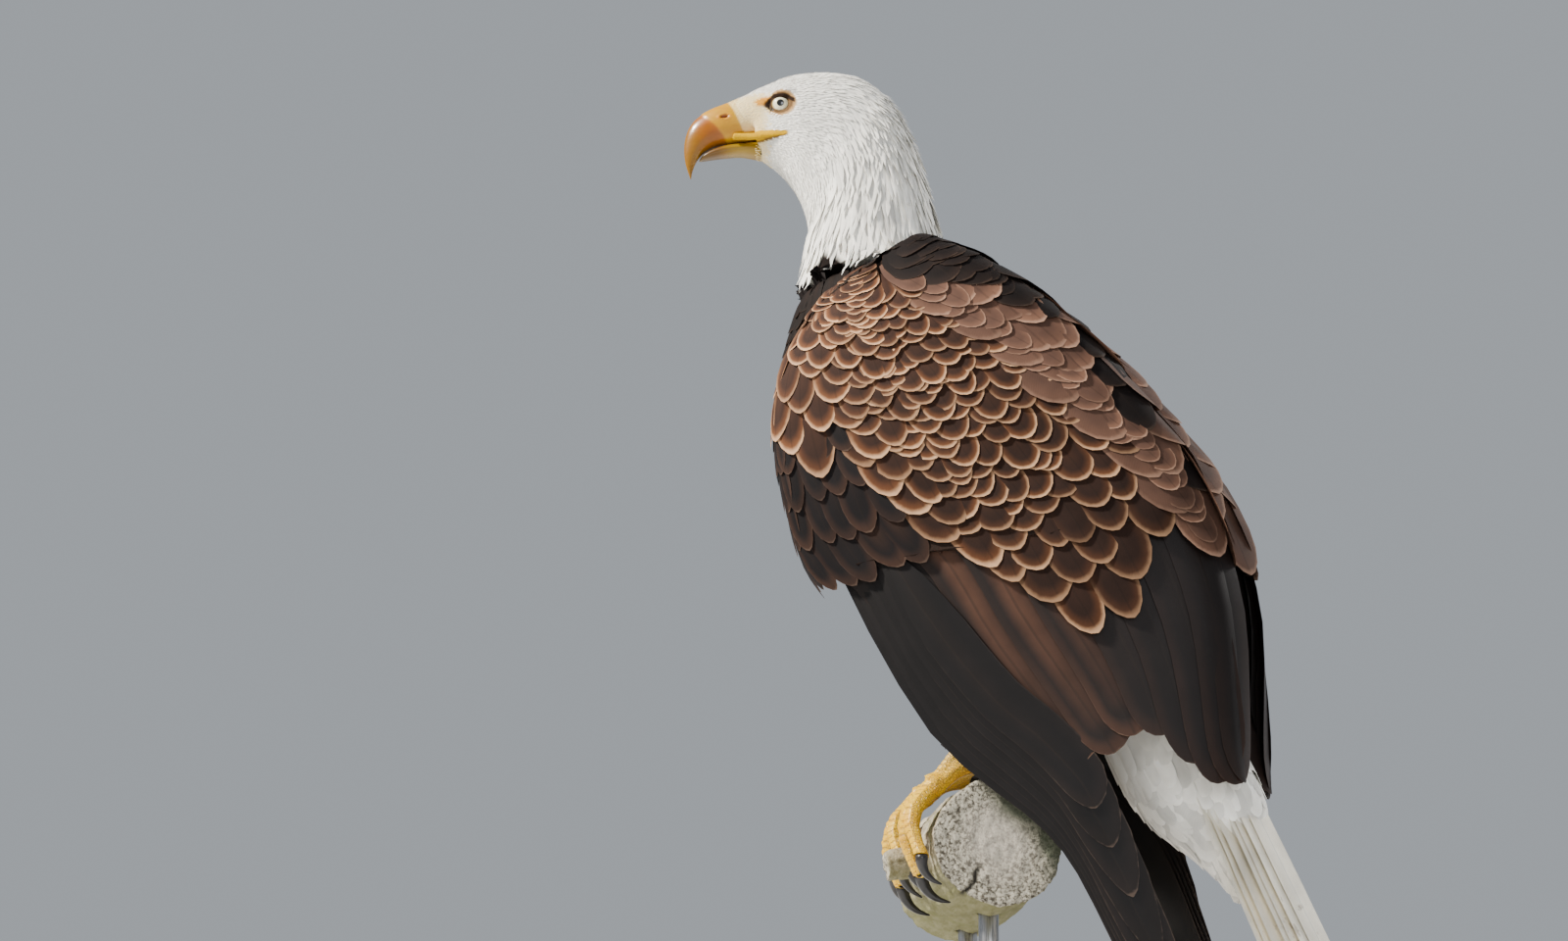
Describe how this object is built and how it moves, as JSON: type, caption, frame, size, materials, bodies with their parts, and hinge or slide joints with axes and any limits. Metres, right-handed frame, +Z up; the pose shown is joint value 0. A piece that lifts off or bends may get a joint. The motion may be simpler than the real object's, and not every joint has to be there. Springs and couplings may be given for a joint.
{
  "type": "bald eagle",
  "caption": "Adult bald eagle gripping a cut length of log with wings folded and head turned a little to its left, held by rods on a round display base.",
  "frame": {"origin": "centre of the display base's flat underside, on the floor", "axes": "+Z up; the eagle faces -Y with its left side towards +X, and its body's mirror plane is x = 0"},
  "size_m": [0.3787, 0.487, 0.8712],
  "materials": {
    "white_plumage": "matte white feathers",
    "dark_plumage": "matte dark brown feathers with paler fringes",
    "flight_plumage": "satin blackish brown flight feathers",
    "bill": "satin yellow horn",
    "eye": "wet gloss, pale iris and dark pupil",
    "foot_skin": "yellow scaly skin",
    "claw": "satin slate-black horn",
    "log": "rough weathered bark and sawn end grain",
    "stand_wood": "dark stained, satin",
    "stand_metal": "brushed"
  },
  "bodies": {
    "root": {"bill_lower": "bill", "bill_upper": "bill", "claw_left_hind": "claw", "claw_left_inner": "claw", "claw_left_middle": "claw", "claw_left_outer": "claw", "claw_right_hind": "claw", "claw_right_inner": "claw", "claw_right_middle": "claw", "claw_right_outer": "claw", "eye_left": "eye", "eye_right": "eye", "head": "white_plumage", "leg_left_foot": "foot_skin", "leg_left_thigh": "dark_plumage", "leg_right_foot": "foot_skin", "leg_right_thigh": "dark_plumage", "neck": "white_plumage", "perch": "log", "stand_base": "stand_wood", "stand_rod_1": "stand_metal", "stand_rod_2": "stand_metal", "tail": "white_plumage", "tail_coverts": "white_plumage", "trunk": "dark_plumage", "wing_left_coverts": "dark_plumage", "wing_left_primaries": "flight_plumage", "wing_left_scapulars": "dark_plumage", "wing_left_secondaries": "flight_plumage", "wing_right_coverts": "dark_plumage", "wing_right_primaries": "flight_plumage", "wing_right_scapulars": "dark_plumage", "wing_right_secondaries": "flight_plumage"}
  },
  "joints": []
}
